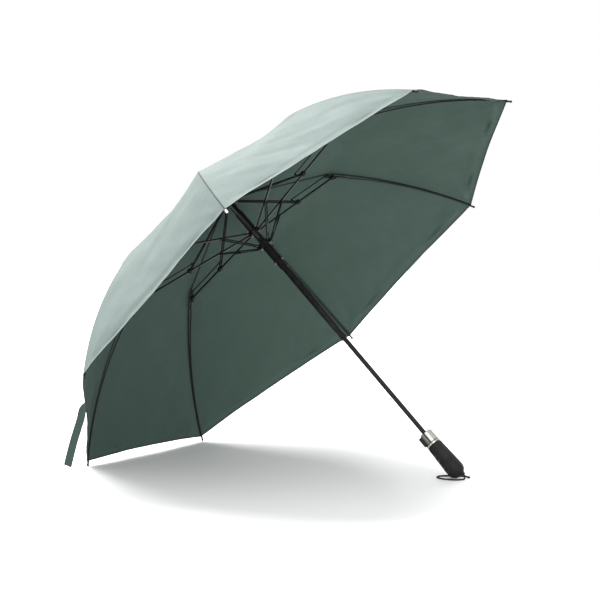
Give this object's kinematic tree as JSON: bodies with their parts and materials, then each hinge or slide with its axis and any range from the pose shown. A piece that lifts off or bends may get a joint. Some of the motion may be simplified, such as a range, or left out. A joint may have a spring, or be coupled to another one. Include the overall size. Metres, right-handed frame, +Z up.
{
  "type": "golf umbrella",
  "caption": "Open two-fold golf umbrella with curved ribs, a telescoping shaft, a push-button grip and a wrist loop, resting on two rib tips and its grip.",
  "frame": {"origin": "on the floor, under the middle of the open umbrella's box", "axes": "+Z up; +X from the canopy towards the grip; +Y across the canopy, its widest direction"},
  "size_m": [0.801, 1.1142, 0.7913],
  "materials": {
    "canopy_cloth": "tightly woven pongee cloth, green, slightly coated",
    "shaft_enamel": "black satin enamel on steel tube",
    "rib_steel": "black electrophoretic coating, edges polished by use",
    "black_plastic": "moulded black nylon, fine spark texture",
    "grip_rubber": "matt black rubber coating",
    "brushed_collar": "brushed along the shaft, satin",
    "bright_trim": "polished bright",
    "spring_steel": "drawn steel wire, oiled",
    "black_cord": "braided black cord"
  },
  "bodies": {
    "root": {"outer_tube": "shaft_enamel", "tube_sleeve": "black_plastic", "detent_rivet": "bright_trim", "crown": "black_plastic", "top_cap": "black_plastic", "ferrule": "black_plastic", "opening_spring": "spring_steel", "canopy": "canopy_cloth"},
    "handle": {"inner_tube": "shaft_enamel", "handle_core": "black_plastic", "grip": "grip_rubber", "collar": "brushed_collar", "trim_ring": "bright_trim", "cord_plug": "black_plastic", "wrist_loop": "black_cord", "button_spring": "spring_steel"},
    "button": {"push_button": "black_plastic"},
    "upper_runner": {"upper_runner": "black_plastic"},
    "lower_runner": {"lower_runner": "black_plastic"},
    "upper_arm_1": {"upper_arm_1": "rib_steel"},
    "main_stretcher_1": {"main_stretcher_1": "rib_steel"},
    "lower_strut_1": {"lower_strut_1": "rib_steel"},
    "outer_rib_1": {"outer_rib_1": "rib_steel"},
    "control_link_1": {"control_link_1": "rib_steel"},
    "upper_arm_2": {"upper_arm_2": "rib_steel"},
    "main_stretcher_2": {"main_stretcher_2": "rib_steel"},
    "lower_strut_2": {"lower_strut_2": "rib_steel"},
    "outer_rib_2": {"outer_rib_2": "rib_steel"},
    "control_link_2": {"control_link_2": "rib_steel"},
    "upper_arm_3": {"upper_arm_3": "rib_steel"},
    "main_stretcher_3": {"main_stretcher_3": "rib_steel"},
    "lower_strut_3": {"lower_strut_3": "rib_steel"},
    "outer_rib_3": {"outer_rib_3": "rib_steel"},
    "control_link_3": {"control_link_3": "rib_steel"},
    "upper_arm_4": {"upper_arm_4": "rib_steel"},
    "main_stretcher_4": {"main_stretcher_4": "rib_steel"},
    "lower_strut_4": {"lower_strut_4": "rib_steel"},
    "outer_rib_4": {"outer_rib_4": "rib_steel"},
    "control_link_4": {"control_link_4": "rib_steel"},
    "upper_arm_5": {"upper_arm_5": "rib_steel"},
    "main_stretcher_5": {"main_stretcher_5": "rib_steel"},
    "lower_strut_5": {"lower_strut_5": "rib_steel"},
    "outer_rib_5": {"outer_rib_5": "rib_steel"},
    "control_link_5": {"control_link_5": "rib_steel"},
    "upper_arm_6": {"upper_arm_6": "rib_steel"},
    "main_stretcher_6": {"main_stretcher_6": "rib_steel"},
    "lower_strut_6": {"lower_strut_6": "rib_steel"},
    "outer_rib_6": {"outer_rib_6": "rib_steel", "tie_strap": "canopy_cloth"},
    "control_link_6": {"control_link_6": "rib_steel"},
    "upper_arm_7": {"upper_arm_7": "rib_steel"},
    "main_stretcher_7": {"main_stretcher_7": "rib_steel"},
    "lower_strut_7": {"lower_strut_7": "rib_steel"},
    "outer_rib_7": {"outer_rib_7": "rib_steel"},
    "control_link_7": {"control_link_7": "rib_steel"},
    "upper_arm_8": {"upper_arm_8": "rib_steel"},
    "main_stretcher_8": {"main_stretcher_8": "rib_steel"},
    "lower_strut_8": {"lower_strut_8": "rib_steel"},
    "outer_rib_8": {"outer_rib_8": "rib_steel"},
    "control_link_8": {"control_link_8": "rib_steel"}
  },
  "joints": [
    {"name": "runner_slide", "type": "slide", "parent": "root", "child": "upper_runner", "axis": [0.7036, 0, -0.7106], "range_m": [0, 0.2255], "stiffness_N_per_m": 90, "springref_m": -0.12, "deforming": ["canopy"]},
    {"name": "lower_runner_slide", "type": "slide", "parent": "root", "child": "lower_runner", "axis": [0.7036, 0, -0.7106], "range_m": [0, 0.20002]},
    {"name": "shaft_collapse", "type": "slide", "parent": "root", "child": "handle", "axis": [-0.7036, 0, 0.7106], "range_m": [0, 0.255]},
    {"name": "button_press", "type": "slide", "parent": "handle", "child": "button", "axis": [0.5444, 0.6428, 0.539], "range_m": [0, 0.0025], "stiffness_N_per_m": 900, "springref_m": -0.002, "deforming": ["button_spring"]},
    {"name": "crown_hinge_1", "type": "hinge", "parent": "root", "child": "upper_arm_1", "pos_m": [-0.16286, 0.00459, 0.57542], "axis": [0.272, -0.9239, 0.2692], "range_deg": [-66.28, 0]},
    {"name": "runner_hinge_1", "type": "hinge", "parent": "upper_runner", "child": "main_stretcher_1", "pos_m": [-0.09888, 0.00497, 0.51211], "axis": [0.272, -0.9239, 0.2692], "range_deg": [0, 77.6]},
    {"name": "strut_hinge_1", "type": "hinge", "parent": "lower_runner", "child": "lower_strut_1", "pos_m": [-0.07018, 0.00612, 0.48705], "axis": [0.272, -0.9239, 0.2692], "range_deg": [0, 55.44]},
    {"name": "knee_hinge_1", "type": "hinge", "parent": "main_stretcher_1", "child": "outer_rib_1", "pos_m": [0.05085, 0.11481, 0.73774], "axis": [0.272, -0.9239, 0.2692], "range_deg": [-120.62, 0]},
    {"name": "link_hinge_1", "type": "hinge", "parent": "upper_arm_1", "child": "control_link_1", "pos_m": [-0.03718, 0.0571, 0.62864], "axis": [0.272, -0.9239, 0.2692], "range_deg": [0, 147.4]},
    {"name": "crown_hinge_2", "type": "hinge", "parent": "root", "child": "upper_arm_2", "pos_m": [-0.16747, 0.01109, 0.57085], "axis": [0.6565, -0.3827, 0.65], "range_deg": [-66.28, 0]},
    {"name": "runner_hinge_2", "type": "hinge", "parent": "upper_runner", "child": "main_stretcher_2", "pos_m": [-0.10388, 0.01201, 0.50716], "axis": [0.6565, -0.3827, 0.65], "range_deg": [0, 77.6]},
    {"name": "strut_hinge_2", "type": "hinge", "parent": "lower_runner", "child": "lower_strut_2", "pos_m": [-0.07633, 0.01478, 0.48096], "axis": [0.6565, -0.3827, 0.65], "range_deg": [0, 55.44]},
    {"name": "knee_hinge_2", "type": "hinge", "parent": "main_stretcher_2", "child": "outer_rib_2", "pos_m": [-0.06453, 0.27716, 0.62352], "axis": [0.6565, -0.3827, 0.65], "range_deg": [-120.62, 0]},
    {"name": "link_hinge_2", "type": "hinge", "parent": "upper_arm_2", "child": "control_link_2", "pos_m": [-0.09456, 0.13784, 0.57183], "axis": [0.6565, -0.3827, 0.65], "range_deg": [0, 147.4]},
    {"name": "crown_hinge_3", "type": "hinge", "parent": "root", "child": "upper_arm_3", "pos_m": [-0.174, 0.01109, 0.56439], "axis": [0.6565, 0.3827, 0.65], "range_deg": [-66.28, 0]},
    {"name": "runner_hinge_3", "type": "hinge", "parent": "upper_runner", "child": "main_stretcher_3", "pos_m": [-0.11095, 0.01201, 0.50016], "axis": [0.6565, 0.3827, 0.65], "range_deg": [0, 77.6]},
    {"name": "strut_hinge_3", "type": "hinge", "parent": "lower_runner", "child": "lower_strut_3", "pos_m": [-0.08503, 0.01478, 0.47235], "axis": [0.6565, 0.3827, 0.65], "range_deg": [0, 55.44]},
    {"name": "knee_hinge_3", "type": "hinge", "parent": "main_stretcher_3", "child": "outer_rib_3", "pos_m": [-0.2277, 0.27716, 0.46197], "axis": [0.6565, 0.3827, 0.65], "range_deg": [-120.62, 0]},
    {"name": "link_hinge_3", "type": "hinge", "parent": "upper_arm_3", "child": "control_link_3", "pos_m": [-0.17571, 0.13784, 0.49149], "axis": [0.6565, 0.3827, 0.65], "range_deg": [0, 147.4]},
    {"name": "crown_hinge_4", "type": "hinge", "parent": "root", "child": "upper_arm_4", "pos_m": [-0.17861, 0.00459, 0.55982], "axis": [0.272, 0.9239, 0.2692], "range_deg": [-66.28, 0]},
    {"name": "runner_hinge_4", "type": "hinge", "parent": "upper_runner", "child": "main_stretcher_4", "pos_m": [-0.11595, 0.00497, 0.49521], "axis": [0.272, 0.9239, 0.2692], "range_deg": [0, 77.6]},
    {"name": "strut_hinge_4", "type": "hinge", "parent": "lower_runner", "child": "lower_strut_4", "pos_m": [-0.09118, 0.00612, 0.46625], "axis": [0.272, 0.9239, 0.2692], "range_deg": [0, 55.44]},
    {"name": "knee_hinge_4", "type": "hinge", "parent": "main_stretcher_4", "child": "outer_rib_4", "pos_m": [-0.34308, 0.11481, 0.34775], "axis": [0.272, 0.9239, 0.2692], "range_deg": [-120.62, 0]},
    {"name": "link_hinge_4", "type": "hinge", "parent": "upper_arm_4", "child": "control_link_4", "pos_m": [-0.23309, 0.0571, 0.43468], "axis": [0.272, 0.9239, 0.2692], "range_deg": [0, 147.4]},
    {"name": "crown_hinge_5", "type": "hinge", "parent": "root", "child": "upper_arm_5", "pos_m": [-0.17861, -0.00459, 0.55982], "axis": [-0.272, 0.9239, -0.2692], "range_deg": [-66.28, 0]},
    {"name": "runner_hinge_5", "type": "hinge", "parent": "upper_runner", "child": "main_stretcher_5", "pos_m": [-0.11595, -0.00497, 0.49521], "axis": [-0.272, 0.9239, -0.2692], "range_deg": [0, 77.6]},
    {"name": "strut_hinge_5", "type": "hinge", "parent": "lower_runner", "child": "lower_strut_5", "pos_m": [-0.09118, -0.00612, 0.46625], "axis": [-0.272, 0.9239, -0.2692], "range_deg": [0, 55.44]},
    {"name": "knee_hinge_5", "type": "hinge", "parent": "main_stretcher_5", "child": "outer_rib_5", "pos_m": [-0.34308, -0.11481, 0.34775], "axis": [-0.272, 0.9239, -0.2692], "range_deg": [-120.62, 0]},
    {"name": "link_hinge_5", "type": "hinge", "parent": "upper_arm_5", "child": "control_link_5", "pos_m": [-0.23309, -0.0571, 0.43468], "axis": [-0.272, 0.9239, -0.2692], "range_deg": [0, 147.4]},
    {"name": "crown_hinge_6", "type": "hinge", "parent": "root", "child": "upper_arm_6", "pos_m": [-0.174, -0.01109, 0.56439], "axis": [-0.6565, 0.3827, -0.65], "range_deg": [-66.28, 0]},
    {"name": "runner_hinge_6", "type": "hinge", "parent": "upper_runner", "child": "main_stretcher_6", "pos_m": [-0.11095, -0.01201, 0.50016], "axis": [-0.6565, 0.3827, -0.65], "range_deg": [0, 77.6]},
    {"name": "strut_hinge_6", "type": "hinge", "parent": "lower_runner", "child": "lower_strut_6", "pos_m": [-0.08503, -0.01478, 0.47235], "axis": [-0.6565, 0.3827, -0.65], "range_deg": [0, 55.44]},
    {"name": "knee_hinge_6", "type": "hinge", "parent": "main_stretcher_6", "child": "outer_rib_6", "pos_m": [-0.2277, -0.27716, 0.46197], "axis": [-0.6565, 0.3827, -0.65], "range_deg": [-120.62, 0]},
    {"name": "link_hinge_6", "type": "hinge", "parent": "upper_arm_6", "child": "control_link_6", "pos_m": [-0.17571, -0.13784, 0.49149], "axis": [-0.6565, 0.3827, -0.65], "range_deg": [0, 147.4]},
    {"name": "crown_hinge_7", "type": "hinge", "parent": "root", "child": "upper_arm_7", "pos_m": [-0.16747, -0.01109, 0.57085], "axis": [-0.6565, -0.3827, -0.65], "range_deg": [-66.28, 0]},
    {"name": "runner_hinge_7", "type": "hinge", "parent": "upper_runner", "child": "main_stretcher_7", "pos_m": [-0.10388, -0.01201, 0.50716], "axis": [-0.6565, -0.3827, -0.65], "range_deg": [0, 77.6]},
    {"name": "strut_hinge_7", "type": "hinge", "parent": "lower_runner", "child": "lower_strut_7", "pos_m": [-0.07633, -0.01478, 0.48096], "axis": [-0.6565, -0.3827, -0.65], "range_deg": [0, 55.44]},
    {"name": "knee_hinge_7", "type": "hinge", "parent": "main_stretcher_7", "child": "outer_rib_7", "pos_m": [-0.06453, -0.27716, 0.62352], "axis": [-0.6565, -0.3827, -0.65], "range_deg": [-120.62, 0]},
    {"name": "link_hinge_7", "type": "hinge", "parent": "upper_arm_7", "child": "control_link_7", "pos_m": [-0.09456, -0.13784, 0.57183], "axis": [-0.6565, -0.3827, -0.65], "range_deg": [0, 147.4]},
    {"name": "crown_hinge_8", "type": "hinge", "parent": "root", "child": "upper_arm_8", "pos_m": [-0.16286, -0.00459, 0.57542], "axis": [-0.272, -0.9239, -0.2692], "range_deg": [-66.28, 0]},
    {"name": "runner_hinge_8", "type": "hinge", "parent": "upper_runner", "child": "main_stretcher_8", "pos_m": [-0.09888, -0.00497, 0.51211], "axis": [-0.272, -0.9239, -0.2692], "range_deg": [0, 77.6]},
    {"name": "strut_hinge_8", "type": "hinge", "parent": "lower_runner", "child": "lower_strut_8", "pos_m": [-0.07018, -0.00612, 0.48705], "axis": [-0.272, -0.9239, -0.2692], "range_deg": [0, 55.44]},
    {"name": "knee_hinge_8", "type": "hinge", "parent": "main_stretcher_8", "child": "outer_rib_8", "pos_m": [0.05085, -0.11481, 0.73774], "axis": [-0.272, -0.9239, -0.2692], "range_deg": [-120.62, 0]},
    {"name": "link_hinge_8", "type": "hinge", "parent": "upper_arm_8", "child": "control_link_8", "pos_m": [-0.03718, -0.0571, 0.62864], "axis": [-0.272, -0.9239, -0.2692], "range_deg": [0, 147.4]}
  ],
  "couplings": [
    {"joint": "lower_runner_slide", "follows": "runner_slide", "ratio": 0.88653},
    {"joint": "crown_hinge_1", "follows": "runner_slide", "rad_per_m": -5.127},
    {"joint": "runner_hinge_1", "follows": "runner_slide", "rad_per_m": 6.0027},
    {"joint": "strut_hinge_1", "follows": "runner_slide", "rad_per_m": 4.289},
    {"joint": "knee_hinge_1", "follows": "runner_slide", "rad_per_m": -9.3308},
    {"joint": "link_hinge_1", "follows": "runner_slide", "rad_per_m": 11.403},
    {"joint": "crown_hinge_2", "follows": "runner_slide", "rad_per_m": -5.127},
    {"joint": "runner_hinge_2", "follows": "runner_slide", "rad_per_m": 6.0027},
    {"joint": "strut_hinge_2", "follows": "runner_slide", "rad_per_m": 4.289},
    {"joint": "knee_hinge_2", "follows": "runner_slide", "rad_per_m": -9.3308},
    {"joint": "link_hinge_2", "follows": "runner_slide", "rad_per_m": 11.403},
    {"joint": "crown_hinge_3", "follows": "runner_slide", "rad_per_m": -5.127},
    {"joint": "runner_hinge_3", "follows": "runner_slide", "rad_per_m": 6.0027},
    {"joint": "strut_hinge_3", "follows": "runner_slide", "rad_per_m": 4.289},
    {"joint": "knee_hinge_3", "follows": "runner_slide", "rad_per_m": -9.3308},
    {"joint": "link_hinge_3", "follows": "runner_slide", "rad_per_m": 11.403},
    {"joint": "crown_hinge_4", "follows": "runner_slide", "rad_per_m": -5.127},
    {"joint": "runner_hinge_4", "follows": "runner_slide", "rad_per_m": 6.0027},
    {"joint": "strut_hinge_4", "follows": "runner_slide", "rad_per_m": 4.289},
    {"joint": "knee_hinge_4", "follows": "runner_slide", "rad_per_m": -9.3308},
    {"joint": "link_hinge_4", "follows": "runner_slide", "rad_per_m": 11.403},
    {"joint": "crown_hinge_5", "follows": "runner_slide", "rad_per_m": -5.127},
    {"joint": "runner_hinge_5", "follows": "runner_slide", "rad_per_m": 6.0027},
    {"joint": "strut_hinge_5", "follows": "runner_slide", "rad_per_m": 4.289},
    {"joint": "knee_hinge_5", "follows": "runner_slide", "rad_per_m": -9.3308},
    {"joint": "link_hinge_5", "follows": "runner_slide", "rad_per_m": 11.403},
    {"joint": "crown_hinge_6", "follows": "runner_slide", "rad_per_m": -5.127},
    {"joint": "runner_hinge_6", "follows": "runner_slide", "rad_per_m": 6.0027},
    {"joint": "strut_hinge_6", "follows": "runner_slide", "rad_per_m": 4.289},
    {"joint": "knee_hinge_6", "follows": "runner_slide", "rad_per_m": -9.3308},
    {"joint": "link_hinge_6", "follows": "runner_slide", "rad_per_m": 11.403},
    {"joint": "crown_hinge_7", "follows": "runner_slide", "rad_per_m": -5.127},
    {"joint": "runner_hinge_7", "follows": "runner_slide", "rad_per_m": 6.0027},
    {"joint": "strut_hinge_7", "follows": "runner_slide", "rad_per_m": 4.289},
    {"joint": "knee_hinge_7", "follows": "runner_slide", "rad_per_m": -9.3308},
    {"joint": "link_hinge_7", "follows": "runner_slide", "rad_per_m": 11.403},
    {"joint": "crown_hinge_8", "follows": "runner_slide", "rad_per_m": -5.127},
    {"joint": "runner_hinge_8", "follows": "runner_slide", "rad_per_m": 6.0027},
    {"joint": "strut_hinge_8", "follows": "runner_slide", "rad_per_m": 4.289},
    {"joint": "knee_hinge_8", "follows": "runner_slide", "rad_per_m": -9.3308},
    {"joint": "link_hinge_8", "follows": "runner_slide", "rad_per_m": 11.403}
  ]
}
